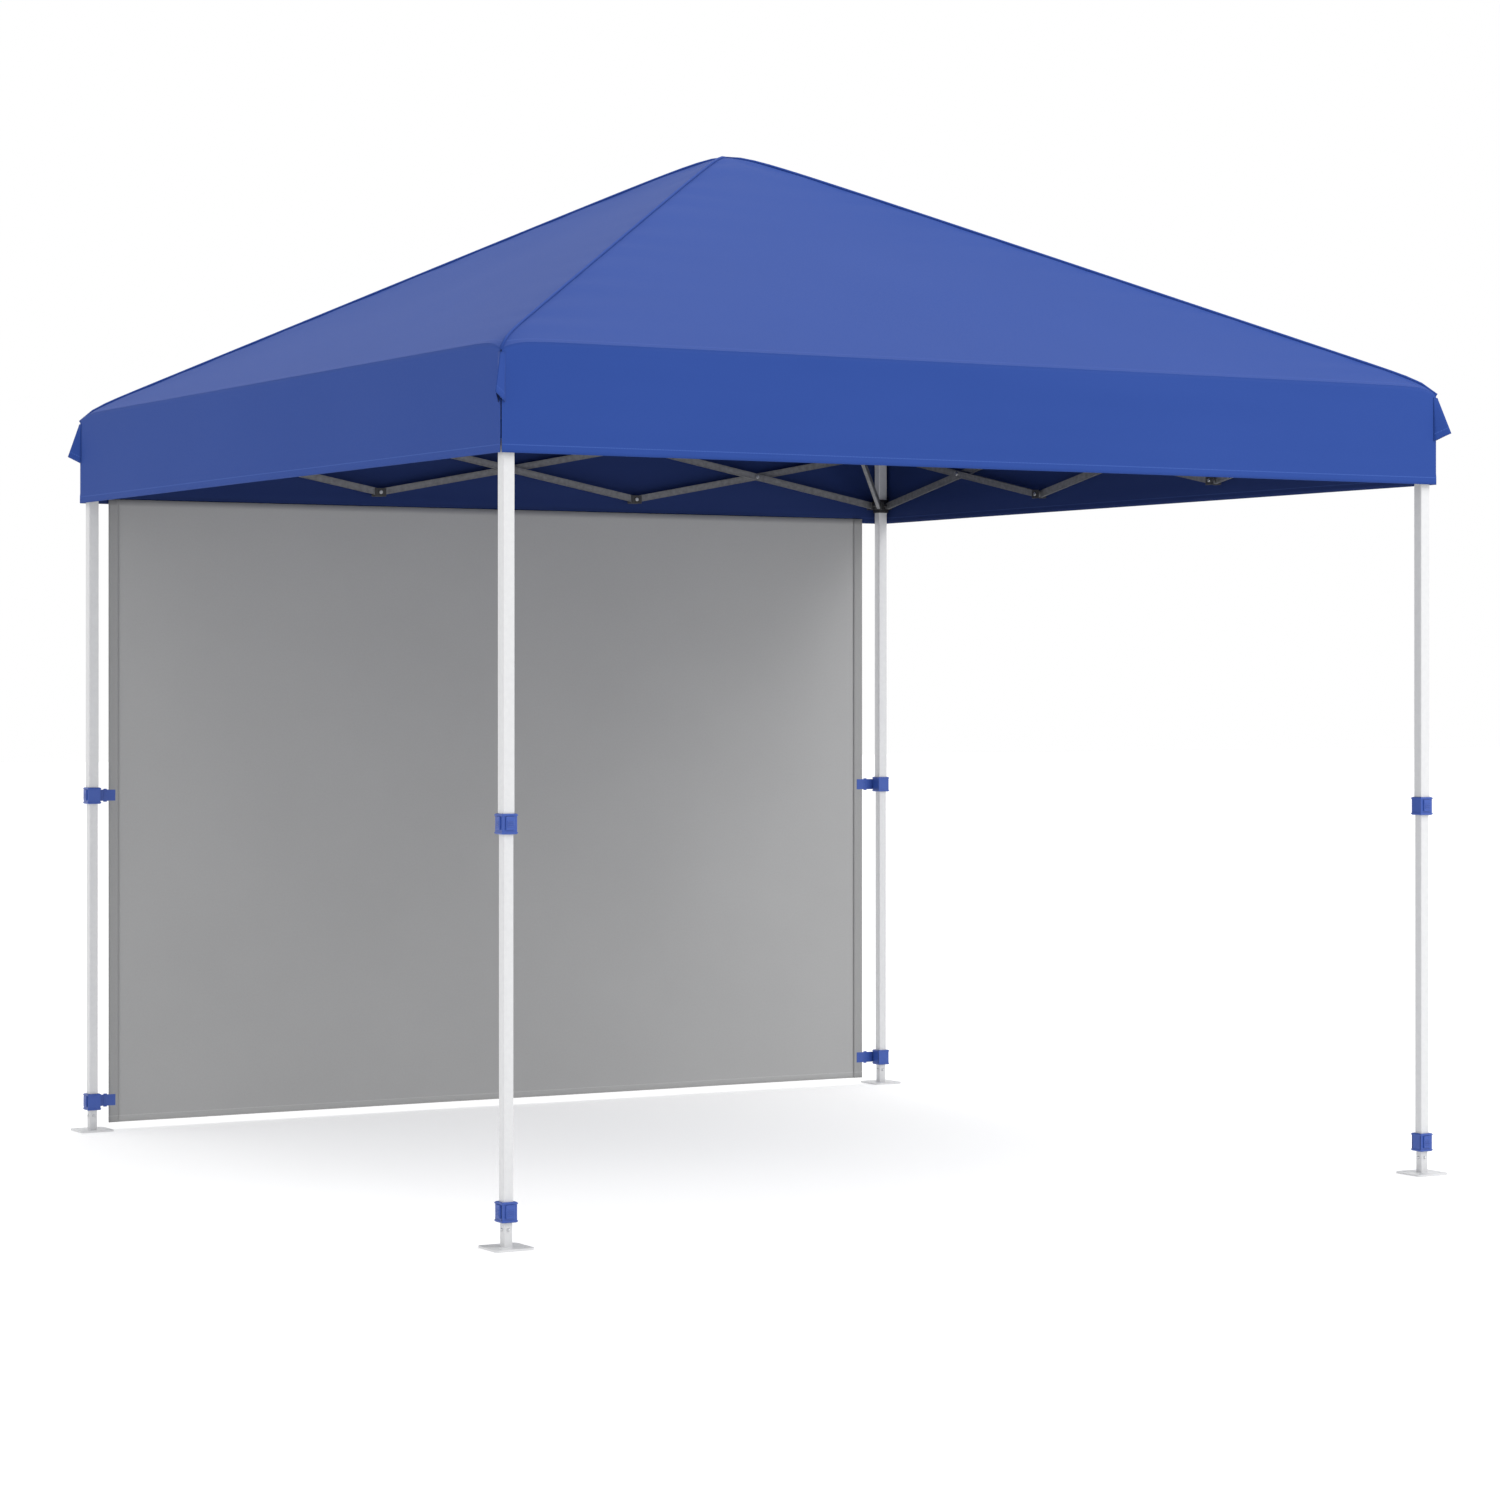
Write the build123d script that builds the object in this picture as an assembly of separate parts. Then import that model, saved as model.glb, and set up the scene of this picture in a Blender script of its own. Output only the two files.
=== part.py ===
from build123d import *
import math
import os

# Pop up canopy: a three metre scissor-frame shelter with a pyramid roof and one side wall.
#
# Millimetres, +Z up, origin on the ground at the centre of the footprint.
# Corners are named front_left, front_right, back_left and back_right; -Y is the front.

# ---- driving dimensions ----
LEG_SPACING = 2940.0        # between leg centres, along X and along Y
EAVE_WIDTH = 3000.0         # outer width of the roof at its eave
EAVE_Z = 2265.0
PEAK_Z = 3000.0
PEAK_FLAT = 84.0            # width of the small flat that the peak cap holds up
VALANCE_Z = 1985.0          # lower edge of the valance
CLOTH = 1.5

OUTER_TUBE = 32.0
MIDDLE_TUBE = 28.0
FOOT_TUBE = 24.0
WALL = 1.2
CORNER_R = 2.5
COLLAR = 42.0
COLLAR_TALL = 52.0
UPPER_COLLAR_Z = 1060.0     # centre of the collar on the outer tube's lower end
LOWER_COLLAR_Z = 92.0       # centre of the collar on the middle tube's lower end
LEG_TOP_Z = 2250.0
MIDDLE_TUBE_TALL = 1120.0
FOOT_TUBE_TALL = 560.0
FOOT_PLATE = 110.0
FOOT_PLATE_TALL = 5.0
STAKE_HOLE = 10.0
STAKE_PITCH = 70.0

TOP_PIVOT_Z = 2225.0
SLIDER_PIVOT_Z = 2045.0
PIVOT_OFFSET = 36.0         # side pivot, from the leg centre along the side
UNITS = 3                   # X units in each side
BAR_WIDE = 22.0
LAYER_NEAR = 1.0            # a bar lies between these two distances from the leg plane
LAYER_FAR = 13.0
EAR_NEAR = 14.5
EAR_FAR = 17.5
BOLT = 7.0
BOLT_HOLE = 9.0
EAR_TALL = 26.0
RING = 41.0                 # outer width of a bracket or slider ring
RING_FIT = 0.4              # room between a ring and the leg tube, on each side
BRACKET_TALL = 34.0
LEG_LID = 3.0
SLIDER_TALL = 46.0
NECK_TALL = 16.0            # the neck that carries a slider's corner ears
NECK_PLATE = 5.0
TUBE_IN_COLLAR = 4.0        # how far a collar's lower lip hides the tube's end

ARM_PIVOT = 60.0            # corner pivot on a slider, from the leg centre
OUTER_ARM = 985.0
OUTER_ARM_RISE = 30.0       # degrees above level when the frame is open
INNER_ARM = 1120.87
INNER_ARM_RISE = 0.199
HUB_PIVOT = 45.0
HUB_RADIUS = 30.0
HUB_TALL = 26.0
POST_RADIUS = 12.5
CAP_RADIUS = 38.0
CAP_TALL = 16.0
CAP_ROOM = 22.0             # from the top of the post to the cloth

WALL_GAP = 64.0             # from a leg centre to the side wall's edge
WALL_Y = 1495.0
WALL_BOTTOM_Z = 20.0
WALL_LAP = 15.0             # how far the wall's top edge reaches up inside the valance

HALF = LEG_SPACING / 2
CORNERS = {"front_left": (-1, -1), "front_right": (1, -1), "back_left": (-1, 1), "back_right": (1, 1)}
SIDES = {"front": ("front_left", "front_right"), "left": ("front_left", "back_left"),
         "right": ("front_right", "back_right"), "back": ("back_left", "back_right")}


def block(size, centre, radius=0.0):
    """A box by its size and centre, with its upright edges rounded."""
    solid = Box(*size)
    if radius:
        solid = fillet(solid.edges().filter_by(Axis.Z), radius)
    return Pos(*centre) * solid


def square_tube(outer, wall, low, high, x, y):
    tall = high - low
    body = block((outer, outer, tall), (0, 0, 0), CORNER_R)
    inner = outer - 2 * wall
    bore = block((inner, inner, tall + 2), (0, 0, 0), CORNER_R - wall)
    return Pos(x, y, (low + high) / 2) * (body - bore)


def collar(inner, z, x, y):
    """A moulded collar that grips the end of a leg tube."""
    body = block((COLLAR, COLLAR, COLLAR_TALL), (0, 0, 0), 6)
    body = chamfer(body.faces().sort_by(Axis.Z)[-1].edges(), 1.5)
    bore = block((inner, inner, COLLAR_TALL + 2), (0, 0, 0), CORNER_R)
    return Pos(x, y, z) * (body - bore)


def upright_frame(origin, along):
    """X runs along a side or diagonal, Y points up, and Z is across it."""
    return Plane(origin=origin, x_dir=along, z_dir=Vector(*along).cross(Vector(0, 0, 1)))


def link(start, rise, length, along, layer, pins):
    """A flat bar with round ends between two pivots, and its bolts if it carries them.

    The layer is +1 or -1, the side of the centre plane on which the bar lies.
    """
    frame = upright_frame(start, along)
    near, far = sorted((layer * LAYER_NEAR, layer * LAYER_FAR))
    centres = [(0, 0), (length, 0)]
    if len(pins) == 3:
        centres.append((length / 2, 0))
    outline = Pos(length / 2, 0) * SlotCenterToCenter(length, BAR_WIDE)
    holes = Sketch() + [Pos(*c) * Circle(BOLT_HOLE / 2) for c in centres]
    bar = Pos(0, 0, near) * extrude(outline - holes, far - near)
    pieces = [bar]
    for centre, pinned in zip(centres, pins):
        if pinned:
            pieces.append(Pos(*centre, -LAYER_FAR) * extrude(Circle(BOLT / 2), 2 * LAYER_FAR))
    turned = [frame.location * Rot(0, 0, rise) * piece for piece in pieces]
    return Compound(children=[Solid(piece.solids()[0].wrapped) for piece in turned])


def ears(along, near_r, pivot, z):
    """Two ear plates and the pivot bolt between them, standing out along one direction."""
    frame = upright_frame((0, 0, 0), along)
    reach = pivot + BAR_WIDE / 2 - near_r
    plates = Part()
    for low in (-EAR_FAR, EAR_NEAR):
        plate = Box(reach, EAR_TALL, EAR_FAR - EAR_NEAR)
        plates += Pos(near_r + reach / 2, 0, low + (EAR_FAR - EAR_NEAR) / 2) * plate
    bolt = Pos(pivot, 0, 0) * Cylinder(BOLT / 2, 2 * EAR_FAR)
    return Location((0, 0, z)) * frame.location * (plates + bolt)


def ring(z, tall):
    bore = block((OUTER_TUBE + 2 * RING_FIT,) * 2 + (tall + 2,), (0, 0, 0), CORNER_R)
    return Pos(0, 0, z) * (block((RING, RING, tall), (0, 0, 0), 4) - bore)


def inward(corner):
    """Unit directions from a corner: along X, along Y and along the diagonal."""
    sx, sy = CORNERS[corner]
    root = math.sqrt(0.5)
    return (-sx, 0, 0), (0, -sy, 0), (-sx * root, -sy * root, 0)


def top_bracket(corner):
    along_x, along_y, _ = inward(corner)
    body = ring(TOP_PIVOT_Z, BRACKET_TALL)
    for along in (along_x, along_y):
        body += ears(along, RING / 2 - 4, PIVOT_OFFSET, TOP_PIVOT_Z)
    lid = block((RING, RING, LEG_LID), (0, 0, LEG_TOP_Z + LEG_LID / 2), 4)
    return body, lid


def slider(corner):
    along_x, along_y, diagonal = inward(corner)
    body = ring(SLIDER_PIVOT_Z, SLIDER_TALL)
    for along in (along_x, along_y):
        body += ears(along, RING / 2 - 4, PIVOT_OFFSET, SLIDER_PIVOT_Z)
    neck_near, neck_far = RING / 2 + 4, ARM_PIVOT - BAR_WIDE / 2 - 3
    frame = Location((0, 0, SLIDER_PIVOT_Z)) * upright_frame((0, 0, 0), diagonal).location
    neck = Box(neck_far - neck_near, EAR_TALL, NECK_TALL)
    body += frame * Pos((neck_near + neck_far) / 2, 0, 0) * neck
    body += frame * Pos(neck_far - NECK_PLATE / 2, 0, 0) * Box(NECK_PLATE, EAR_TALL, 2 * EAR_FAR)
    body += ears(diagonal, neck_far - 3, ARM_PIVOT, SLIDER_PIVOT_Z)
    return body


def save(name, *pieces):
    """Write one node, with every piece as a solid of its own."""
    solids = [Solid(s.wrapped) for piece in pieces for s in piece.solids()]
    export_step(Compound(label=name, children=solids), f"parts/{name}.step")


os.makedirs("parts", exist_ok=True)

# ---- legs, collars, feet and sliders ----
for corner, (sx, sy) in CORNERS.items():
    x, y = sx * HALF, sy * HALF
    upper_low = UPPER_COLLAR_Z - COLLAR_TALL / 2
    lower_low = LOWER_COLLAR_Z - COLLAR_TALL / 2
    bracket, lid = top_bracket(corner)
    save(f"outer_leg_{corner}",
         square_tube(OUTER_TUBE, WALL, upper_low + TUBE_IN_COLLAR, LEG_TOP_Z, x, y),
         collar(OUTER_TUBE + 0.1, UPPER_COLLAR_Z, x, y),
         Pos(x, y, 0) * bracket, Pos(x, y, 0) * lid)
    save(f"slider_{corner}", Pos(x, y, 0) * slider(corner))
    save(f"middle_leg_{corner}",
         square_tube(MIDDLE_TUBE, WALL, lower_low + TUBE_IN_COLLAR, lower_low + MIDDLE_TUBE_TALL, x, y),
         collar(MIDDLE_TUBE + 0.1, LOWER_COLLAR_Z, x, y))
    plate = block((FOOT_PLATE, FOOT_PLATE, FOOT_PLATE_TALL), (0, 0, FOOT_PLATE_TALL / 2), 12)
    for hx, hy in ((-1, -1), (1, -1), (-1, 1), (1, 1)):
        hole = Cylinder(STAKE_HOLE / 2, 20)
        plate -= Pos(hx * STAKE_PITCH / 2, hy * STAKE_PITCH / 2, 0) * hole
    save(f"foot_leg_{corner}", Pos(x, y, 0) * plate,
         square_tube(FOOT_TUBE, WALL, FOOT_PLATE_TALL, FOOT_PLATE_TALL + FOOT_TUBE_TALL, x, y))

# ---- scissor bars of the four sides ----
UNIT = (LEG_SPACING - 2 * PIVOT_OFFSET) / UNITS
DROP = TOP_PIVOT_Z - SLIDER_PIVOT_Z
BAR = math.hypot(UNIT, DROP)
BAR_RISE = math.degrees(math.atan2(DROP, UNIT))
for side, (first, last) in SIDES.items():
    start = Vector(CORNERS[first][0] * HALF, CORNERS[first][1] * HALF, 0)
    end = Vector(CORNERS[last][0] * HALF, CORNERS[last][1] * HALF, 0)
    along = (end - start).normalized()
    for number in range(UNITS):
        place = start + along * (PIVOT_OFFSET + number * UNIT)
        high = (place.X, place.Y, TOP_PIVOT_Z)
        low = (place.X, place.Y, SLIDER_PIVOT_Z)
        to_side = (along.X, along.Y, 0)
        # The falling bar carries the bolts, but not where it ends on a bracket or slider.
        bolts = (number > 0, number < UNITS - 1, True)
        falling = link(high, -BAR_RISE, BAR, to_side, 1, bolts)
        rising = link(low, BAR_RISE, BAR, to_side, -1, (False, False, False))
        save(f"{side}_falling_bar_{number + 1}", falling)
        save(f"{side}_rising_bar_{number + 1}", rising)

# ---- roof arms, hub and peak post ----
hub_rise = OUTER_ARM * math.sin(math.radians(OUTER_ARM_RISE))
hub_rise += INNER_ARM * math.sin(math.radians(INNER_ARM_RISE))
HUB_Z = SLIDER_PIVOT_Z + hub_rise
hub = Pos(0, 0, HUB_Z) * Cylinder(HUB_RADIUS, HUB_TALL)
for corner, (sx, sy) in CORNERS.items():
    diagonal = inward(corner)[2]
    base = Vector(sx * HALF, sy * HALF, SLIDER_PIVOT_Z) + Vector(*diagonal) * ARM_PIVOT
    reach = OUTER_ARM * math.cos(math.radians(OUTER_ARM_RISE))
    rise = OUTER_ARM * math.sin(math.radians(OUTER_ARM_RISE))
    knuckle = base + Vector(*diagonal) * reach + Vector(0, 0, rise)
    outer = link((base.X, base.Y, base.Z), OUTER_ARM_RISE, OUTER_ARM, diagonal, -1, (False, True))
    inner = link((knuckle.X, knuckle.Y, knuckle.Z), INNER_ARM_RISE, INNER_ARM, diagonal, 1,
                 (False, False))
    save(f"outer_arm_{corner}", outer)
    save(f"inner_arm_{corner}", inner)
    outward = (-diagonal[0], -diagonal[1], 0)
    hub += ears(outward, HUB_RADIUS - 4, HUB_PIVOT, HUB_Z)
POST_FOOT = HUB_Z + HUB_TALL / 2
POST_TOP = PEAK_Z - CLOTH - CAP_ROOM
post = Pos(0, 0, (POST_FOOT + POST_TOP) / 2) * Cylinder(POST_RADIUS, POST_TOP - POST_FOOT)
save("hub", hub)
save("peak_post", post)
cap = Pos(0, 0, POST_TOP + CAP_TALL / 2) * Cylinder(CAP_RADIUS, CAP_TALL)
save("peak_cap", fillet(cap.edges(), 4))


# ---- cloth: roof panels, valances and side wall ----
def pyramid(inset):
    """The roof's full height, with every face moved in by the cloth's thickness."""
    base = Rectangle(EAVE_WIDTH - 2 * inset, EAVE_WIDTH - 2 * inset)
    top = Rectangle(PEAK_FLAT, PEAK_FLAT)
    drop = inset * (PEAK_Z - EAVE_Z) / ((EAVE_WIDTH - PEAK_FLAT) / 2)
    drop = drop + CLOTH if inset else 0
    return loft([Pos(0, 0, EAVE_Z - (CLOTH if inset else 0)) * base, Pos(0, 0, PEAK_Z - drop) * top])


roof = pyramid(0) - pyramid(CLOTH)
for number, side in enumerate(("front", "right", "back", "left")):
    reach = EAVE_WIDTH
    wedge = extrude(make_face(Polyline((0, 0), (-reach, -reach), (reach, -reach), close=True)), 4000)
    save(f"roof_panel_{side}", roof & (Rot(0, 0, 90 * number) * wedge))
    half = EAVE_WIDTH / 2
    tall = EAVE_Z - CLOTH - 1 - VALANCE_Z
    sheet = block((EAVE_WIDTH - 2 * CLOTH - 2, CLOTH, tall),
                  (0, -half + CLOTH / 2, VALANCE_Z + tall / 2))
    save(f"valance_{side}", Rot(0, 0, 90 * number) * sheet)
wall_tall = VALANCE_Z + WALL_LAP - WALL_BOTTOM_Z
save("side_wall", block((LEG_SPACING - 2 * WALL_GAP, CLOTH, wall_tall),
                        (0, WALL_Y + CLOTH / 2, WALL_BOTTOM_Z + wall_tall / 2)))
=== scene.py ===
# %% [markdown]
# # A pop up canopy
# The frame of this shelter comes ready made from its CAD model: legs, scissor bars,
# roof arms and sliders. What is made here is the cloth, the moulded collars, the
# small hardware, and every finish. We start by loading the frame and noting its box.

# %% Load the frame
import math

import bmesh
import bpy
from mathutils import Matrix, Vector, noise


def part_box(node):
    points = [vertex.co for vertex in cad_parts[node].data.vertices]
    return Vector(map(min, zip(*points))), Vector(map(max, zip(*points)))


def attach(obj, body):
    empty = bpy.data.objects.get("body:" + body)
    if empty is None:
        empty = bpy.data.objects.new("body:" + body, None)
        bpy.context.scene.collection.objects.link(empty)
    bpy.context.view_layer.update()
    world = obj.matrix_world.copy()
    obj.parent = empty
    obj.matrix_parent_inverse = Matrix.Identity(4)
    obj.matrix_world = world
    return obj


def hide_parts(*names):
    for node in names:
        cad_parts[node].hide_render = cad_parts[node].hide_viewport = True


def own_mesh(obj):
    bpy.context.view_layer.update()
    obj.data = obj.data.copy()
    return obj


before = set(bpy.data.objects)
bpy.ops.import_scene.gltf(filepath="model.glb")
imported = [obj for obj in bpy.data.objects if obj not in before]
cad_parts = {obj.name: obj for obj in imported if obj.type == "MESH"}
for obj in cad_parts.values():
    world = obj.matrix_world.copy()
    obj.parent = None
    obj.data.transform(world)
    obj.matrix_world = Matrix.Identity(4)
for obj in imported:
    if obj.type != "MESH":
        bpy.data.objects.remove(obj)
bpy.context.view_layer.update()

# %% [markdown]
# ## Camera and light
# The camera stands low and well back with a long lens, so that upright legs stay
# upright. It isn't tilted: a small vertical shift frames the canopy instead, the way
# an architect's camera does. Big soft lamps and a pale world give the even light of
# a product studio.

# %% Camera
EYE = Vector((-5.708, -10.011, 1.394))
YAW = math.radians(-30.05)
camera_data = bpy.data.cameras.new("camera")
camera_data.sensor_width = 36.0
camera_data.lens = 91.5
camera_data.shift_y = -0.040
camera = bpy.data.objects.new("camera", camera_data)
camera.location = EYE
camera.rotation_euler = (math.radians(90), 0, YAW)
bpy.context.scene.collection.objects.link(camera)
bpy.context.scene.camera = camera


# %% Lamps, world and floor
def lamp(name, place, target, size, watts):
    """A square area lamp that faces a point."""
    data = bpy.data.lights.new(name, "AREA")
    data.size = size
    data.energy = watts
    item = bpy.data.objects.new(name, data)
    item.location = place
    item.rotation_euler = (Vector(target) - Vector(place)).to_track_quat("-Z", "Y").to_euler()
    bpy.context.scene.collection.objects.link(item)


CENTRE = (0, 0, 1.5)
lamp("key", (5.0, -7.0, 7.5), CENTRE, 6.0, 420)
lamp("top", (0.0, 1.0, 9.0), CENTRE, 6.0, 160)
world = bpy.data.worlds.new("studio")
world.use_nodes = True
world.node_tree.nodes["Background"].inputs["Color"].default_value = (1.0, 1.0, 1.0, 1)
world.node_tree.nodes["Background"].inputs["Strength"].default_value = 1.0
bpy.context.scene.world = world
bpy.context.scene.view_settings.view_transform = "Standard"

# %% [markdown]
# ## Shared finishes
# Two looks turn up in more than one material, so each is a node group: the weave,
# mottling and stitched hem of coated polyester, and the fine grain and worn edges of
# paint and moulded plastic.


# %% Node group helpers
def new_group(name, inputs, outputs):
    """A shader node group with named sockets; returns it with its two end nodes."""
    group = bpy.data.node_groups.new(name, "ShaderNodeTree")
    for label, kind, value in inputs:
        socket = group.interface.new_socket(label, in_out="INPUT", socket_type=kind)
        if value is not None:
            socket.default_value = value
    for label, kind in outputs:
        group.interface.new_socket(label, in_out="OUTPUT", socket_type=kind)
    return group, group.nodes.new("NodeGroupInput"), group.nodes.new("NodeGroupOutput")


def math_node(tree, operation, first, second=None):
    """One Math node; each argument is a socket or a number."""
    node = tree.nodes.new("ShaderNodeMath")
    node.operation = operation
    for index, value in enumerate((first, second)):
        if value is None:
            continue
        if isinstance(value, (int, float)):
            node.inputs[index].default_value = value
        else:
            tree.links.new(value, node.inputs[index])
    return node.outputs[0]


def noise_node(tree, vector, scale, detail=3.0):
    """One Noise node's value; the scale is a socket or a number."""
    node = tree.nodes.new("ShaderNodeTexNoise")
    node.inputs["Detail"].default_value = detail
    if isinstance(scale, (int, float)):
        node.inputs["Scale"].default_value = scale
    else:
        tree.links.new(scale, node.inputs["Scale"])
    tree.links.new(vector, node.inputs["Vector"])
    return node.outputs["Fac"]


def mix_colour(tree, factor, first, second):
    """A Mix node for colours; each colour is a socket or a tuple."""
    node = tree.nodes.new("ShaderNodeMix")
    node.data_type = "RGBA"
    tree.links.new(factor, node.inputs[0])
    for socket, value in ((node.inputs[6], first), (node.inputs[7], second)):
        if isinstance(value, tuple):
            socket.default_value = value
        else:
            tree.links.new(value, socket)
    return node.outputs[2]


# %% Cloth group: crossing threads, mottling and a stitched hem
VECTOR, FLOAT, COLOUR = "NodeSocketVector", "NodeSocketFloat", "NodeSocketColor"
weave, weave_in, weave_out = new_group(
    "cloth_weave",
    [("Place", VECTOR, None), ("Base", COLOUR, (0.5, 0.5, 0.5, 1)),
     ("Dark", COLOUR, (0.3, 0.3, 0.3, 1)), ("Thread", COLOUR, (0.6, 0.6, 0.6, 1)),
     ("Threads per metre", FLOAT, 900.0), ("Stitch line", FLOAT, 0.02)],
    [("Colour", COLOUR), ("Height", FLOAT), ("Roughness", FLOAT)])
split = weave.nodes.new("ShaderNodeSeparateXYZ")
weave.links.new(weave_in.outputs["Place"], split.inputs[0])
turns = math_node(weave, "MULTIPLY", weave_in.outputs["Threads per metre"], 2 * math.pi)
warp = math_node(weave, "SINE", math_node(weave, "MULTIPLY", split.outputs[0], turns))
weft = math_node(weave, "SINE", math_node(weave, "MULTIPLY", split.outputs[1], turns))
threads = math_node(weave, "MULTIPLY", warp, weft)
# Stitches: short dashes of thread along a line set in from the lower edge.
away = math_node(weave, "ABSOLUTE", math_node(weave, "SUBTRACT", split.outputs[1],
                                              weave_in.outputs["Stitch line"]))
on_line = math_node(weave, "LESS_THAN", away, 0.0011)
dash = math_node(weave, "LESS_THAN", math_node(weave, "FRACT", math_node(
    weave, "MULTIPLY", split.outputs[0], 220.0)), 0.68)
stitch = math_node(weave, "MULTIPLY", on_line, dash)
mottle = noise_node(weave, weave_in.outputs["Place"], 2.2, 4.0)
speck = noise_node(weave, weave_in.outputs["Place"], 160.0, 2.0)
blotch = math_node(weave, "ADD", math_node(weave, "MULTIPLY", mottle, 0.55),
                   math_node(weave, "MULTIPLY", speck, 0.45))
cloth_colour = mix_colour(weave, blotch, weave_in.outputs["Dark"], weave_in.outputs["Base"])
weave.links.new(mix_colour(weave, stitch, cloth_colour, weave_in.outputs["Thread"]),
                weave_out.inputs["Colour"])
weave.links.new(math_node(weave, "ADD", math_node(weave, "MULTIPLY", threads, 0.25),
                          math_node(weave, "MULTIPLY", stitch, 2.0)), weave_out.inputs["Height"])
weave.links.new(math_node(weave, "ADD", math_node(weave, "MULTIPLY", speck, 0.16), 0.62),
                weave_out.inputs["Roughness"])

# %% Hard surface group: grain, dust and worn edges
hard, hard_in, hard_out = new_group(
    "paint_grain",
    [("Base", COLOUR, (0.5, 0.5, 0.5, 1)), ("Worn", COLOUR, (0.7, 0.7, 0.7, 1)),
     ("Grain size", FLOAT, 900.0), ("Roughness", FLOAT, 0.4), ("Wear", FLOAT, 0.5)],
    [("Colour", COLOUR), ("Height", FLOAT), ("Roughness", FLOAT)])
place = hard.nodes.new("ShaderNodeTexCoord").outputs["Object"]
grain = noise_node(hard, place, hard_in.outputs["Grain size"], 2.0)
cloud = noise_node(hard, place, 9.0, 4.0)
rub = noise_node(hard, place, 70.0, 5.0)
edge = hard.nodes.new("ShaderNodeNewGeometry").outputs["Pointiness"]
edge_mask = hard.nodes.new("ShaderNodeMapRange")
edge_mask.inputs["From Min"].default_value = 0.53
edge_mask.inputs["From Max"].default_value = 0.62
hard.links.new(edge, edge_mask.inputs["Value"])
worn = math_node(hard, "MULTIPLY", math_node(hard, "MULTIPLY", edge_mask.outputs[0], rub),
                 hard_in.outputs["Wear"])
hard.links.new(mix_colour(hard, worn, hard_in.outputs["Base"], hard_in.outputs["Worn"]),
               hard_out.inputs["Colour"])
hard.links.new(grain, hard_out.inputs["Height"])
soft_rough = math_node(hard, "MULTIPLY", math_node(hard, "SUBTRACT", cloud, 0.5), 0.22)
hard.links.new(math_node(hard, "ADD", hard_in.outputs["Roughness"], soft_rough),
               hard_out.inputs["Roughness"])


# %% Material makers
def start_material(name, group):
    """A material whose colour, roughness and bump come from one node group."""
    material = bpy.data.materials.new(name)
    material.use_nodes = True
    tree = material.node_tree
    shader = tree.nodes["Principled BSDF"]
    node = tree.nodes.new("ShaderNodeGroup")
    node.node_tree = group
    bump = tree.nodes.new("ShaderNodeBump")
    tree.links.new(node.outputs["Colour"], shader.inputs["Base Color"])
    tree.links.new(node.outputs["Roughness"], shader.inputs["Roughness"])
    tree.links.new(node.outputs["Height"], bump.inputs["Height"])
    tree.links.new(bump.outputs["Normal"], shader.inputs["Normal"])
    return material, tree, shader, node, bump


def cloth_material(name, base, dark, thread, glow):
    """Coated polyester: a tight weave and a soft sheen."""
    material, tree, shader, node, bump = start_material(name, weave)
    uv = tree.nodes.new("ShaderNodeUVMap")
    uv.uv_map = "cut"
    tree.links.new(uv.outputs[0], node.inputs["Place"])
    node.inputs["Base"].default_value = base
    node.inputs["Dark"].default_value = dark
    node.inputs["Thread"].default_value = thread
    bump.inputs["Strength"].default_value = 0.25
    bump.inputs["Distance"].default_value = 0.0004
    shader.inputs["Sheen Weight"].default_value = glow
    shader.inputs["Sheen Roughness"].default_value = 0.5
    shader.inputs["Specular IOR Level"].default_value = 0.12
    return material


def hard_material(name, base, worn, roughness, metallic=0.0, wear=0.5, grain=900.0,
                  strength=0.15):
    """Paint, nylon or zinc: a fine grain, uneven gloss and worn edges."""
    material, tree, shader, node, bump = start_material(name, hard)
    node.inputs["Base"].default_value = base
    node.inputs["Worn"].default_value = worn
    node.inputs["Roughness"].default_value = roughness
    node.inputs["Wear"].default_value = wear
    node.inputs["Grain size"].default_value = grain
    bump.inputs["Strength"].default_value = strength
    bump.inputs["Distance"].default_value = 0.0005
    shader.inputs["Metallic"].default_value = metallic
    return material


BLUE_CLOTH = cloth_material("blue_polyester", (0.023, 0.062, 0.275, 1), (0.017, 0.052, 0.240, 1),
                            (0.045, 0.10, 0.36, 1), 0.02)
# The inside face is the blue cloth made darker: painted shade under the roof.
BLUE_INSIDE_PAINTED_SHADE = cloth_material("blue_inside_painted_shade", (0.014, 0.030, 0.125, 1),
                             (0.010, 0.024, 0.100, 1), (0.03, 0.06, 0.2, 1), 0.0)
GREY_CLOTH = cloth_material("grey_polyester", (0.40, 0.40, 0.40, 1), (0.34, 0.34, 0.34, 1),
                            (0.48, 0.48, 0.48, 1), 0.08)
GREY_HEM = cloth_material("grey_hem_binding", (0.34, 0.34, 0.34, 1), (0.29, 0.29, 0.29, 1),
                          (0.42, 0.42, 0.42, 1), 0.08)
WHITE_PAINT = hard_material("white_powder_coat", (0.66, 0.665, 0.67, 1),
                            (0.50, 0.50, 0.52, 1), 0.36)
DARK_PAINT = hard_material("dark_bar_coat", (0.065, 0.068, 0.075, 1),
                           (0.42, 0.42, 0.43, 1), 0.42, 0.2)
BLUE_NYLON = hard_material("blue_moulded_nylon", (0.022, 0.068, 0.330, 1), (0.10, 0.18, 0.50, 1),
                           0.40, wear=0.6, grain=1400.0, strength=0.25)
BLACK_NYLON = hard_material("black_moulded_nylon", (0.018, 0.018, 0.020, 1), (0.10, 0.10, 0.10, 1),
                            0.48, wear=0.6, grain=1400.0, strength=0.3)
ZINC = hard_material("zinc_plate", (0.62, 0.63, 0.64, 1), (0.80, 0.80, 0.80, 1), 0.30, 1.0)
FLOOR = hard_material("studio_floor", (0.70, 0.70, 0.70, 1), (0.70, 0.70, 0.70, 1), 0.8, wear=0.0)
floor_shader = FLOOR.node_tree.nodes["Principled BSDF"]
floor_shader.inputs["Emission Color"].default_value = (1.0, 1.0, 1.0, 1)
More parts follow.
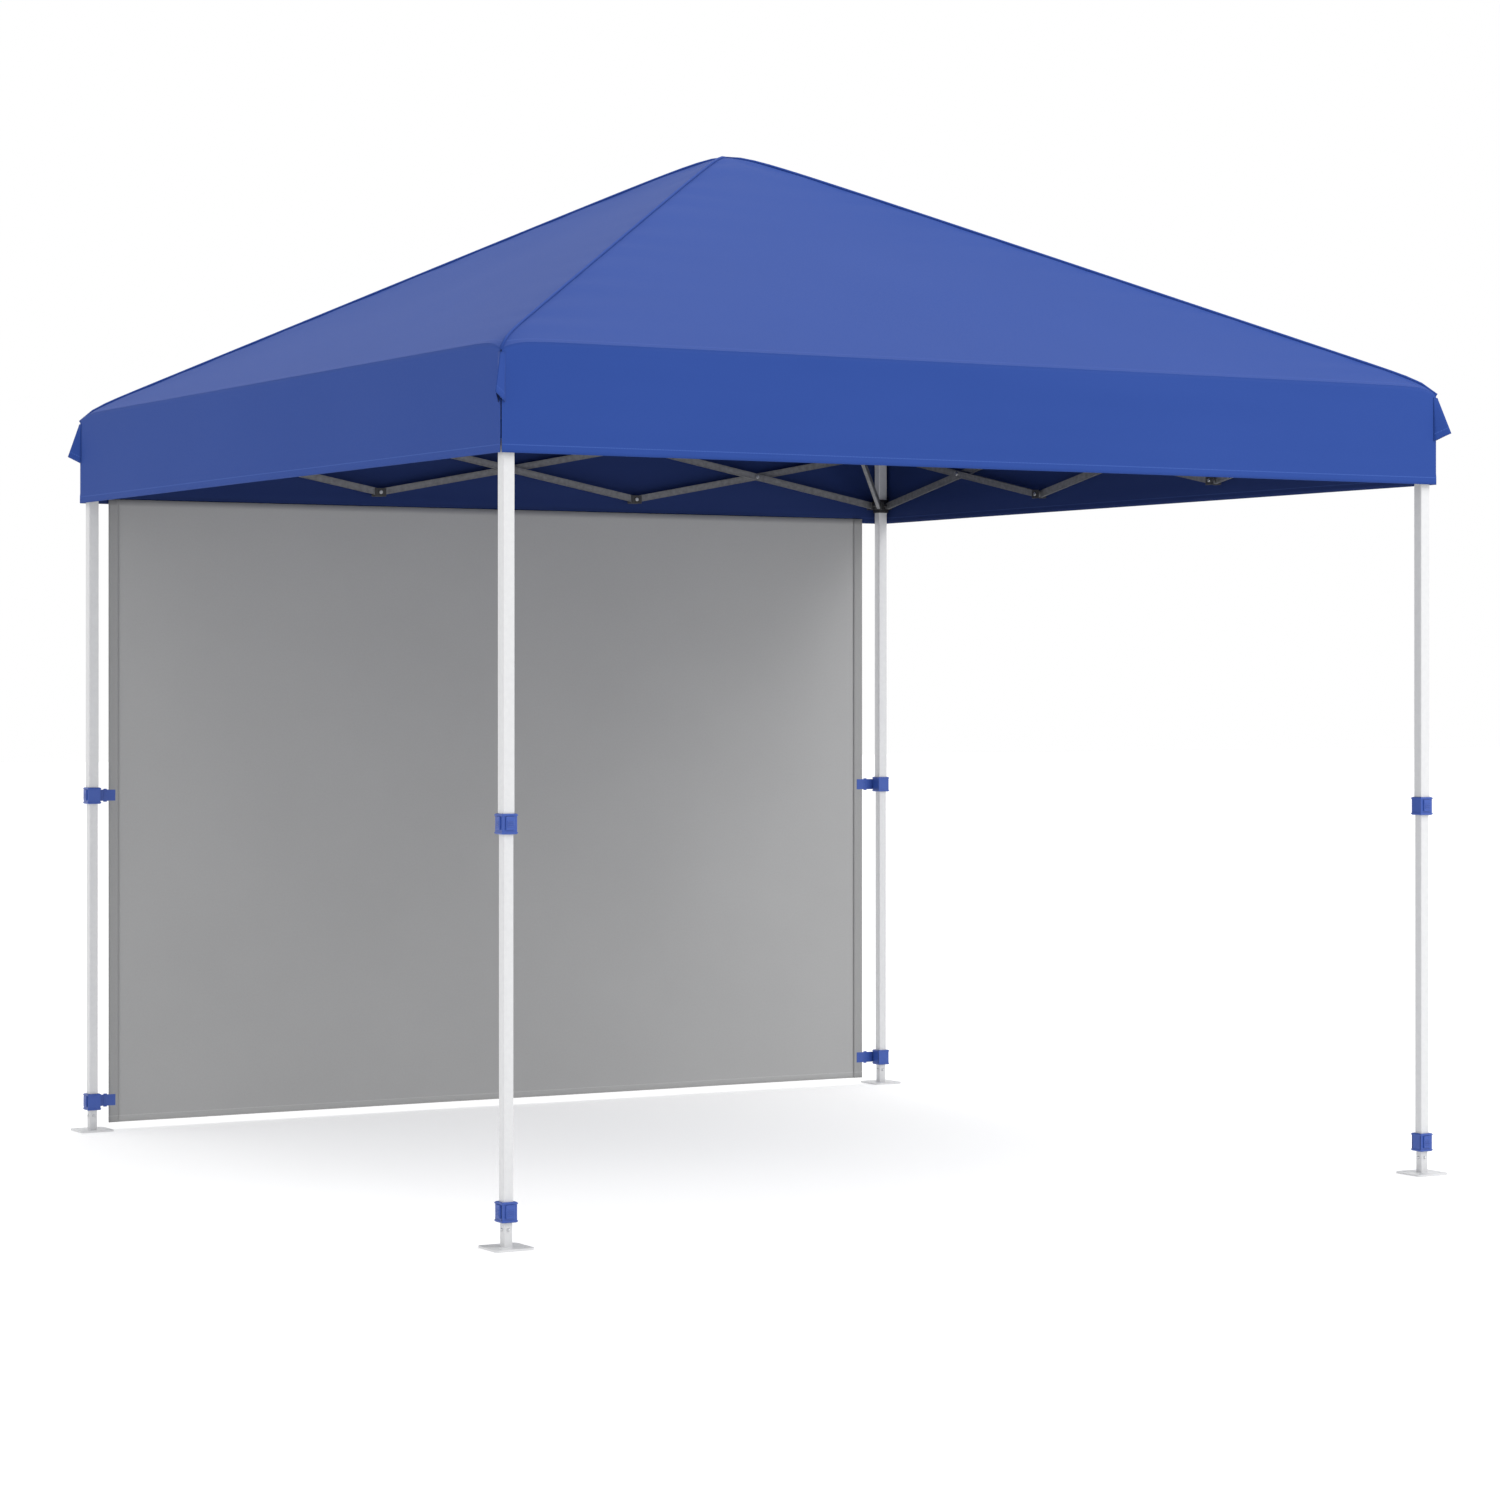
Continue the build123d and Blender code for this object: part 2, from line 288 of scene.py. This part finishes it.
floor_shader.inputs["Emission Strength"].default_value = 0.42


# %% Mesh helpers
UP, FRONT = Vector((0, 0, 1)), Vector((0, -1, 0))


def make_piece(bm, name, body, material, smooth=False, nodes=()):
    """Turn a finished bmesh into a named piece that rides on a body."""
    for face in bm.faces:
        face.smooth = smooth
    mesh = bpy.data.meshes.new(name)
    bm.to_mesh(mesh)
    bm.free()
    piece = bpy.data.objects.new(name, mesh)
    mesh.materials.append(material)
    bpy.context.scene.collection.objects.link(piece)
    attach(piece, body)
    if nodes:
        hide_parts(*nodes)
    return piece


def add_block(bm, size, centre, radius, turn=0.0):
    """A box with rounded edges, added to a bmesh."""
    made = bmesh.ops.create_cube(bm, size=1.0)
    verts = made["verts"]
    bmesh.ops.scale(bm, vec=size, verts=verts)
    edges = list({e for v in verts for e in v.link_edges})
    rounded = bmesh.ops.bevel(bm, geom=edges, offset=radius, offset_type="OFFSET", segments=3,
                              profile=0.5, affect="EDGES", material=-1)
    verts = list({v for f in rounded["faces"] for v in f.verts} | {v for v in verts if v.is_valid})
    bmesh.ops.rotate(bm, cent=(0, 0, 0), matrix=Matrix.Rotation(turn, 3, "Z"), verts=verts)
    bmesh.ops.translate(bm, vec=centre, verts=verts)


def add_bolt_head(bm, place, direction, radius, tall):
    """A low hexagon head that stands on a face."""
    turn = Vector((0, 0, 1)).rotation_difference(Vector(direction)).to_matrix().to_4x4()
    lift = Matrix.Translation(Vector(place) + Vector(direction) * tall / 2)
    made = bmesh.ops.create_cone(bm, cap_ends=True, segments=6, radius1=radius, radius2=radius,
                                 depth=tall, matrix=lift @ turn)
    edges = list({e for v in made["verts"] for e in v.link_edges})
    bmesh.ops.bevel(bm, geom=edges, offset=tall * 0.2, offset_type="OFFSET", segments=1,
                    profile=0.5, affect="EDGES", material=-1)


def solids_of(node):
    """The separate solids of a CAD node as bmeshes, from the lowest to the highest."""
    whole = bmesh.new()
    whole.from_mesh(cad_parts[node].data)
    bmesh.ops.remove_doubles(whole, verts=whole.verts, dist=1e-6)
    left = set(whole.verts)
    solids = []
    while left:
        stack = [left.pop()]
        island = set(stack)
        while stack:
            for link in stack.pop().link_edges:
                for vert in link.verts:
                    if vert in left:
                        left.remove(vert)
                        island.add(vert)
                        stack.append(vert)
        part = whole.copy()
        whole.verts.index_update()
        keep = {v.index for v in island}
        part.verts.ensure_lookup_table()
        bmesh.ops.delete(part, geom=[v for v in part.verts if v.index not in keep], context="VERTS")
        solids.append(part)
    whole.free()
    return sorted(solids, key=lambda b: min(v.co.z for v in b.verts))


def cut_to_uv(bm, layer, flat):
    """Give each corner of a cloth sheet its place on the flat, uncut cloth."""
    for face in bm.faces:
        for loop in face.loops:
            loop[layer].uv = flat[loop.vert]


def face_towards(bm, direction):
    """Turn an open sheet's faces so that together they face a direction."""
    bmesh.ops.recalc_face_normals(bm, faces=bm.faces)
    if sum(face.normal.dot(direction) for face in bm.faces) < 0:
        bmesh.ops.reverse_faces(bm, faces=bm.faces)


def thicken(piece, thickness, offset):
    """Give a sheet its real thickness, on one side of it."""
    thick = piece.modifiers.new("cloth_thickness", "SOLIDIFY")
    thick.thickness = thickness
    thick.offset = offset
    return thick


# %% Studio floor
floor_mesh = bmesh.new()
bmesh.ops.create_grid(floor_mesh, x_segments=1, y_segments=1, size=60.0)
bmesh.ops.translate(floor_mesh, vec=(0, 0, -0.001), verts=floor_mesh.verts)
floor_data = bpy.data.meshes.new("floor")
floor_mesh.to_mesh(floor_data)
floor_mesh.free()
floor_data.materials.append(FLOOR)
floor = bpy.data.objects.new("floor", floor_data)
bpy.context.scene.collection.objects.link(floor)

# %% [markdown]
# ## Sizes read from the frame
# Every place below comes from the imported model, so the cloth lands where the CAD
# model holds room for it.

# %% Sizes
CORNERS = {"front_left": (-1, -1), "front_right": (1, -1),
           "back_left": (-1, 1), "back_right": (1, 1)}
SIDES = ("front", "right", "back", "left")
roof_low, roof_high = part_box("roof_panel_front")
HALF = -roof_low[1]                      # half the roof's width at the eave
EAVE = roof_low[2]
PEAK = roof_high[2]
valance_low, valance_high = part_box("valance_front")
leg_low, leg_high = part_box("middle_leg_front_left")
LEG = -(leg_low[0] + leg_high[0]) / 2    # a leg centre's distance from the middle
print("eave", round(EAVE, 3), "peak", round(PEAK, 3), "leg", round(LEG, 3))
ROOF_BODY = {side: "roof_" + side for side in SIDES}
EAVE_BODY = {"front": "leg_front_left", "left": "leg_front_left",
             "right": "leg_front_right", "back": "leg_back_left"}
TURN = {side: Matrix.Rotation(math.radians(90 * number), 4, "Z")
        for number, side in enumerate(SIDES)}


def thicken_with_painted_shade_inside(piece):
    """Give a blue sheet its thickness, with a darker blue on its inside face: painted shade."""
    piece.data.materials.append(BLUE_INSIDE_PAINTED_SHADE)
    thicken(piece, 0.0014, -1).material_offset = 1


def gather(piece):
    """Give a piece its own copy of its mesh."""
    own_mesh(piece)


# %% [markdown]
# ## Roof cloth
# The roof is one cover, sewn from four triangles along the hips and stretched from
# the peak cap to the eave. Stretched cloth isn't flat: each triangle dips a little
# between its hips, rounds over the cap, and puckers beside the seams. A grid is
# shaped to that form, then Solidify gives it the cloth's thickness.

# %% Roof shape
ROUND = 0.055          # how softly the cloth turns over the peak cap
DIP = 0.012            # how far a triangle sags between its hips
PUCKER = 0.0022        # height of the creases beside the seams
CORNER_DROOP = 0.024   # how far the eave rounds down at a corner
DROOP_SPAN = 0.035     # and over what distance
BROAD = 0.006          # height of the wide, soft swells
COLUMNS, ROWS = 96, 72
SLOPE = (PEAK - EAVE) / (math.sqrt(HALF ** 2 + ROUND ** 2) - ROUND)


def corner_droop(x, y):
    """How far the cloth rounds down as it nears a corner of the eave."""
    return CORNER_DROOP * math.exp(-math.hypot(HALF - abs(x), HALF - abs(y)) / DROOP_SPAN)


def roof_height(out, across):
    """Height of the cloth at a distance out from the middle; across runs -1 to 1."""
    height = PEAK - SLOPE * (math.sqrt(out * out + ROUND ** 2) - ROUND)
    belly = math.sin(math.pi * out / HALF) * (1 - across * across)
    return height - DIP * belly - corner_droop(across * out, out)


def roof_crease(out, across, side_number):
    """Small puckers that run off the hip seams and fade towards the middle."""
    reach = (1 - abs(across)) * out
    fade = math.exp(-reach / 0.16) * min(1.0, reach / 0.03) * min(1.0, (HALF - out) / 0.1)
    wave = math.sin(out * 46 + 3 * noise.noise((out * 5, side_number * 7.1, across)))
    broad = noise.noise((out * 2.1, across * out * 2.1, side_number * 3.7 + 0.5))
    spread = (1 - across * across) * math.sin(math.pi * min(1.0, out / HALF))
    return PUCKER * fade * wave + BROAD * broad * spread


for number, side in enumerate(SIDES):
    bm = bmesh.new()
    bmesh.ops.create_grid(bm, x_segments=COLUMNS, y_segments=ROWS, size=1.0)
    uv_layer = bm.loops.layers.uv.new("cut")
    flat = {}
    for vert in bm.verts:
        across = math.sin(vert.co.x * math.pi / 2)
        out = HALF * (1 + math.cos(math.pi * (vert.co.y + 1) / 2)) / 2
        slant = (HALF - out) * math.hypot(1, SLOPE)
        flat[vert] = (across * out, slant)
        lift = roof_height(out, across) + roof_crease(out, across, number)
        vert.co = (across * out, -out, lift)
    cut_to_uv(bm, uv_layer, flat)
    bmesh.ops.remove_doubles(bm, verts=bm.verts, dist=1e-5)
    face_towards(bm, UP)
    bm.transform(TURN[side])
    panel = make_piece(bm, "roof_cloth_" + side, ROOF_BODY[side], BLUE_CLOTH,
                       smooth=True, nodes=("roof_panel_" + side,))
    thicken_with_painted_shade_inside(panel)
    gather(panel)

# %% [markdown]
# ## Hip seams
# Where two triangles are sewn together their edges are felled into a narrow raised
# rib. It is what draws the crisp line from the peak to each corner. Each rib belongs
# to the panel on its left and folds with it.

# %% Hip seams
RIB = 0.0045           # radius of the felled seam
RIB_STEPS = 48


def tube_along(bm, points, radius, sides=8):
    """A closed round tube swept along a chain of points, by extruding a ring."""
    ring = None
    for index, point in enumerate(points):
        before = points[max(index - 1, 0)]
        after = points[min(index + 1, len(points) - 1)]
        turn = Vector((0, 0, 1)).rotation_difference((after - before).normalized())
        frame_at = Matrix.Translation(point) @ turn.to_matrix().to_4x4()
        new = bmesh.ops.create_circle(bm, cap_ends=index in (0, len(points) - 1), segments=sides,
                                      radius=radius, matrix=frame_at)["verts"]
        edges = [e for e in {e for v in new for e in v.link_edges} if len(e.verts) == 2]
        if ring:
            bmesh.ops.bridge_loops(bm, edges=ring + edges)
        ring = edges
    bmesh.ops.recalc_face_normals(bm, faces=bm.faces)


for side in SIDES:
    bm = bmesh.new()
    line = []
    for step in range(RIB_STEPS + 1):
        out = HALF * (1 - step / RIB_STEPS) * 0.9995 + 0.0005
        line.append(Vector((out, -out, roof_height(out, 1.0) + RIB * 0.35)))
    tube_along(bm, line, RIB)
    bm.transform(TURN[side])
    rib = make_piece(bm, "hip_seam_" + side, ROOF_BODY[side], BLUE_CLOTH, smooth=True)
    rib.data.uv_layers.new(name="cut")
    gather(rib)

# %% [markdown]
# ## Valance
# The valance is the band that hangs from the eave. It is held at the corners and by
# nothing between them, so it hangs in very shallow swells, with a doubled hem along
# its lower edge. It is cut at each corner, which is why a dark slit shows there.

# %% Valance
HEM = 0.022            # height of the doubled lower edge
HEM_PROUD = 0.0012
SLIT = 0.003           # half the gap between two bands at a corner


def valance_out(along, down, side_number):
    """How far the band stands out from its CAD sheet."""
    held = 1 - abs(along / HALF) ** 8
    swell = noise.noise((along * 1.3, down * 2.0, side_number * 5.3))
    ripple = noise.noise((along * 0.8, down * 16.0, side_number * 2.9 + 4))
    hang = min(1.0, down / 0.05)
    return held * hang * (0.007 * swell + 0.0028 * ripple)


for number, side in enumerate(SIDES):
    bm = bmesh.new()
    bmesh.ops.create_grid(bm, x_segments=180, y_segments=26, size=1.0)
    uv_layer = bm.loops.layers.uv.new("cut")
    flat = {}
    tall = EAVE - valance_low[2]
    for vert in bm.verts:
        along = math.sin(vert.co.x * math.pi / 2) * (HALF - SLIT)
        height = (vert.co.y + 1) / 2 * tall
        flat[vert] = (along, height)
        proud = valance_out(along, tall - height, number)
        if height < HEM:
            proud += HEM_PROUD
        droop = corner_droop(along, HALF) * max(0.0, height / tall) ** 3
        vert.co = (along, -HALF - proud, valance_low[2] + height - droop)
    cut_to_uv(bm, uv_layer, flat)
    face_towards(bm, FRONT)
    bm.transform(TURN[side])
    band = make_piece(bm, "valance_cloth_" + side, EAVE_BODY[side], BLUE_CLOTH,
                      smooth=True, nodes=("valance_" + side,))
    thicken_with_painted_shade_inside(band)
    gather(band)
print("valance drop", round(EAVE - valance_low[2], 3))

# %% [markdown]
# ## Corner gussets
# At each corner a narrow fold of cloth is sewn into the upper part of the slit. It
# stands out along the diagonal, furthest near its lower end, and covers the leg top.

# %% Corner gussets
GUSSET_TOP = 0.030     # its upper edge, below the eave
GUSSET_TALL = 0.125
GUSSET_BASE = 0.014    # how far its sides run back along each valance
GUSSET_REACH = 0.028   # how far its lower end stands out
GUSSET_GAP = 0.0015
GUSSET_LIFT = 0.022    # how much higher the fold ends than the sides
for corner, (sx, sy) in CORNERS.items():
    bm = bmesh.new()
    bmesh.ops.create_grid(bm, x_segments=12, y_segments=14, size=1.0)
    uv_layer = bm.loops.layers.uv.new("cut")
    flat = {}
    for vert in bm.verts:
        across = vert.co.x
        down = (1 - vert.co.y) / 2
        flat[vert] = (across * GUSSET_REACH, (1 - down) * GUSSET_TALL)
        crest = 1 - abs(across) ** 1.4
        reach = GUSSET_GAP + GUSSET_REACH * down * crest
        x = HALF + reach - GUSSET_BASE * max(0.0, -across)
        y = HALF + reach - GUSSET_BASE * max(0.0, across)
        z = EAVE - GUSSET_TOP - down * (GUSSET_TALL - GUSSET_LIFT * crest)
        vert.co = (x * sx, y * sy, z)
    cut_to_uv(bm, uv_layer, flat)
    face_towards(bm, Vector((sx, sy, 0)))
    gusset = make_piece(bm, "corner_gusset_" + corner, "leg_" + corner, BLUE_CLOTH,
                        smooth=True)
    thicken_with_painted_shade_inside(gusset)

# %% [markdown]
# ## Side wall
# One plain grey wall closes the back. It hangs from the eave inside the valance, with
# a darker binding sewn down both edges, and it is free between its ties, so it swells
# very slightly.

# %% Side wall
wall_low, wall_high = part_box("side_wall")
WALL_WIDE = wall_high[0] - wall_low[0]
WALL_TALL = wall_high[2] - wall_low[2]
BINDING = 0.034
BINDING_PROUD = 0.0016
WALL_SWELL = 0.012


def wall_sheet(left, right, front, proud, columns):
    """A slice of the wall between two places along it."""
    bm = bmesh.new()
    bmesh.ops.create_grid(bm, x_segments=columns, y_segments=90, size=1.0)
    uv_layer = bm.loops.layers.uv.new("cut")
    flat = {}
    for vert in bm.verts:
        x = left + (right - left) * (vert.co.x + 1) / 2
        height = (vert.co.y + 1) / 2 * WALL_TALL
        flat[vert] = (x, height)
        edge_hold = 1 - abs(2 * (x - wall_low[0]) / WALL_WIDE - 1) ** 6
        top_hold = min(1.0, (WALL_TALL - height) / 0.35)
        swell = noise.noise((x * 0.9, height * 0.7, 1.5))
        swell += 0.4 * noise.noise((x * 2.7, height, 8.0))
        depth = WALL_SWELL * edge_hold * top_hold * (swell + 0.55)
        vert.co = (x, front + depth - proud, wall_low[2] + height)
    cut_to_uv(bm, uv_layer, flat)
    face_towards(bm, FRONT)
    return bm


wall = make_piece(wall_sheet(wall_low[0], wall_high[0], wall_low[1], 0.0, 120),
                  "wall_cloth", "leg_back_left", GREY_CLOTH, smooth=True,
                  nodes=("side_wall",))
thicken(wall, 0.001, -1)
gather(wall)
for name, left in (("left", wall_low[0]), ("right", wall_high[0] - BINDING)):
    bm = wall_sheet(left, left + BINDING, wall_low[1], BINDING_PROUD, 4)
    band = make_piece(bm, f"wall_binding_{name}", "leg_back_left", GREY_HEM,
                      smooth=True)
    thicken(band, 0.0012, 1)
    gather(band)

# %% [markdown]
# ## Legs and collars
# Each leg is three square tubes, one inside the next. The tubes keep their CAD
# shapes. The two blue collars are moulded nylon, so each is rebuilt with soft edges,
# a lip at each end, and a raised latch plate with three ribs for grip on two faces.

# %% Collar
COLLAR_SIZE = (0.042, 0.042, 0.052)
COLLAR_CLEAR = 0.0003   # between the collar and its tube


def collar(bm, x, y, z, facing, tube):
    """One moulded collar round a square tube, with its latch facing outwards."""
    wide, _, tall = COLLAR_SIZE
    inside = tube / 2 + COLLAR_CLEAR
    depth = wide / 2 - inside
    for number in range(4):
        turn = math.radians(90 * number)
        push = Matrix.Rotation(turn, 3, "Z") @ Vector((0, -(inside + depth / 2), 0))
        add_block(bm, (wide - 0.0002 * (number % 2), depth, tall), Vector((x, y, z)) + push, 0.0022,
                  turn)
    for number in (facing, (facing + 1) % 4):
        turn = math.radians(90 * number)
        spin = Matrix.Rotation(turn, 3, "Z")
        latch = spin @ Vector((0, -wide / 2 - 0.0015, 0.002))
        add_block(bm, (0.024, 0.005, 0.034), Vector((x, y, z)) + latch, 0.0016, turn)
        for rung in range(3):
            rib = spin @ Vector((0, -wide / 2 - 0.0045, -0.006 + 0.0055 * rung))
            add_block(bm, (0.017, 0.0022, 0.0022), Vector((x, y, z)) + rib, 0.0007, turn)
    for level in (-tall / 2 + 0.004, tall / 2 - 0.004):
        for number in range(4):
            turn = math.radians(90 * number)
            lip = Matrix.Rotation(turn, 3, "Z") @ Vector((0, -wide / 2, level))
            add_block(bm, (wide + 0.002, 0.003, 0.004), Vector((x, y, z)) + lip, 0.0011, turn)


# %% Legs
LATCH_SIDE = {"front_left": 3, "front_right": 0, "back_left": 2, "back_right": 1}
for corner, (sx, sy) in CORNERS.items():
    x, y = sx * LEG, sy * LEG
    outer = solids_of("outer_leg_" + corner)
    by_height = {}
    for solid in outer:
        low = min(v.co.z for v in solid.verts)
        tall = max(v.co.z for v in solid.verts) - low
        if tall > 1.0:
            by_height["tube"] = solid
        elif low < 1.2:
            upper_z = low + tall / 2
            solid.free()
        elif tall < 0.01:
            by_height["lid"] = solid
        else:
            by_height["bracket"] = solid
    make_piece(by_height["tube"], "outer_tube_" + corner, "leg_" + corner,
               WHITE_PAINT, nodes=("outer_leg_" + corner,))
    make_piece(by_height["bracket"], "top_bracket_" + corner, "leg_" + corner,
               BLACK_NYLON)
    make_piece(by_height["lid"], "leg_cap_" + corner, "leg_" + corner, BLACK_NYLON)
    bm = bmesh.new()
    collar(bm, x, y, upper_z, LATCH_SIDE[corner], 0.032)
    make_piece(bm, "upper_collar_" + corner, "leg_" + corner, BLUE_NYLON)

    middle = solids_of("middle_leg_" + corner)
    tube = max(middle, key=lambda b: max(v.co.z for v in b.verts))
    for solid in middle:
        if solid is not tube:
            lower_z = (min(v.co.z for v in solid.verts) + max(v.co.z for v in solid.verts)) / 2
            solid.free()
    make_piece(tube, "middle_tube_" + corner, "middle_leg_" + corner, WHITE_PAINT,
               nodes=("middle_leg_" + corner,))
    bm = bmesh.new()
    collar(bm, x, y, lower_z, LATCH_SIDE[corner], 0.028)
    make_piece(bm, "lower_collar_" + corner, "middle_leg_" + corner, BLUE_NYLON)
print("collars at", round(upper_z, 3), "and", round(lower_z, 3))

# %% [markdown]
# ## Wall straps
# Short blue straps hold the wall's edges back to the legs, level with the collars.

# %% Wall straps
STRAP_TALL = 0.036
for corner in ("back_left", "back_right"):
    side = CORNERS[corner][0]
    leg_edge = side * (LEG - COLLAR_SIZE[0] / 2 + 0.004)
    wall_edge = side * (WALL_WIDE / 2 - 0.022)
    for name, z in (("upper", upper_z), ("lower", lower_z)):
        bm = bmesh.new()
        middle = (leg_edge + wall_edge) / 2
        y = wall_low[1] - 0.0018
        add_block(bm, (abs(leg_edge - wall_edge), 0.0022, STRAP_TALL), (middle, y, z), 0.0009)
        add_block(bm, (0.012, 0.0032, STRAP_TALL + 0.006), (middle, y, z), 0.0010)
        make_piece(bm, f"wall_strap_{name}_{corner}", "leg_" + corner, BLUE_NYLON)

# %% [markdown]
# ## Feet, bolts and the rest of the frame
# The CAD shapes of the bars, arms, sliders and feet are right as they are, and only
# need their finishes. Hexagon heads are added in the next step, where the bolts end.

# %% Frame finishes
for name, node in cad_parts.items():
    finish = None
    if name.startswith(("slider", "hub", "peak_cap")):
        finish = BLACK_NYLON
    elif "_bar_" in name or "arm" in name or name == "peak_post":
        finish = DARK_PAINT
    elif name.startswith("foot_leg"):
        finish = WHITE_PAINT
    if finish:
        node.data.materials.clear()
        node.data.materials.append(finish)

# %% [markdown]
# ## Knuckles and bolts
# Where two scissor units meet, a pair of black nylon cheeks holds the bars, and a
# zinc bolt goes through them. The bars cross on plain bolts.

# %% Knuckles and bolts on the trusses
LAYERS = 0.013          # the bars' outer faces, from the leg plane
CHEEK = 0.0024          # thickness of a nylon cheek
CHEEK_GAP = 0.0003
BAR_END = 0.011         # from a pivot to the rounded end of its bar
UNITS = 3


def truss_point(side, number, level):
    """A pivot of one side's truss, read from the falling bar that ends there."""
    low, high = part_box(f"{side}_falling_bar_{number}")
    ends = [Vector(low), Vector(high)]
    axis = 0 if side in ("front", "back") else 1
    place = (ends[0] + ends[1]) / 2
    if level == "low":
        place[axis] = high[axis] - BAR_END
        place.z = low[2] + BAR_END
    elif level == "high":
        place[axis] = low[axis] + BAR_END
        place.z = high[2] - BAR_END
    return place


def bolt_pair(place, outward, stand, name, body):
    """A bolt's head outside the truss and its nut inside."""
    for label, sign in (("outer", 1), ("inner", -1)):
        bm = bmesh.new()
        add_bolt_head(bm, place + outward * stand * sign, outward * sign, 0.0065, 0.004)
        make_piece(bm, f"{name}_{label}", body, ZINC)


knuckles = 0
for side in SIDES:
    outward = TURN[side].to_3x3() @ Vector((0, -1, 0))
    turn = 0 if side in ("front", "back") else math.pi / 2
    for number in range(1, UNITS + 1):
        body = f"{side}_falling_{number}"
        bolt_pair(truss_point(side, number, "middle"), outward, LAYERS,
                  f"{side}_cross_bolt_{number}", body)
        for level in ("low", "high"):
            if (level == "low" and number == UNITS) or (level == "high" and number == 1):
                continue
            place = truss_point(side, number, level)
            bm = bmesh.new()
            for sign in (-1, 1):
                centre = place + outward * (LAYERS + CHEEK_GAP + CHEEK / 2) * sign
                add_block(bm, (0.040, CHEEK, 0.028), centre, 0.0010, turn)
            make_piece(bm, f"{side}_{level}_knuckle_{number}", body, BLACK_NYLON)
            bolt_pair(place, outward, LAYERS + CHEEK, f"{side}_{level}_bolt_{number}", body)
            knuckles += 1
print("knuckles:", knuckles)

# %% Snap buttons
# A spring button shows low on two faces of each foot tube.
BUTTON_Z = 0.048
BUTTON_RADIUS = 0.0042
BUTTON_OUT = 0.0125     # from the tube's middle line
for corner, (sx, sy) in CORNERS.items():
    bm = bmesh.new()
    for direction in (Vector((0, -1, 0)), Vector((-1, 0, 0))):
        turn = Vector((0, 0, 1)).rotation_difference(direction).to_matrix().to_4x4()
        spot = Vector((sx * LEG, sy * LEG, BUTTON_Z)) + direction * BUTTON_OUT
        bmesh.ops.create_uvsphere(bm, u_segments=16, v_segments=10, radius=BUTTON_RADIUS,
                                  matrix=Matrix.Translation(spot) @ turn)
    make_piece(bm, "snap_button_" + corner, "foot_leg_" + corner, ZINC, smooth=True)
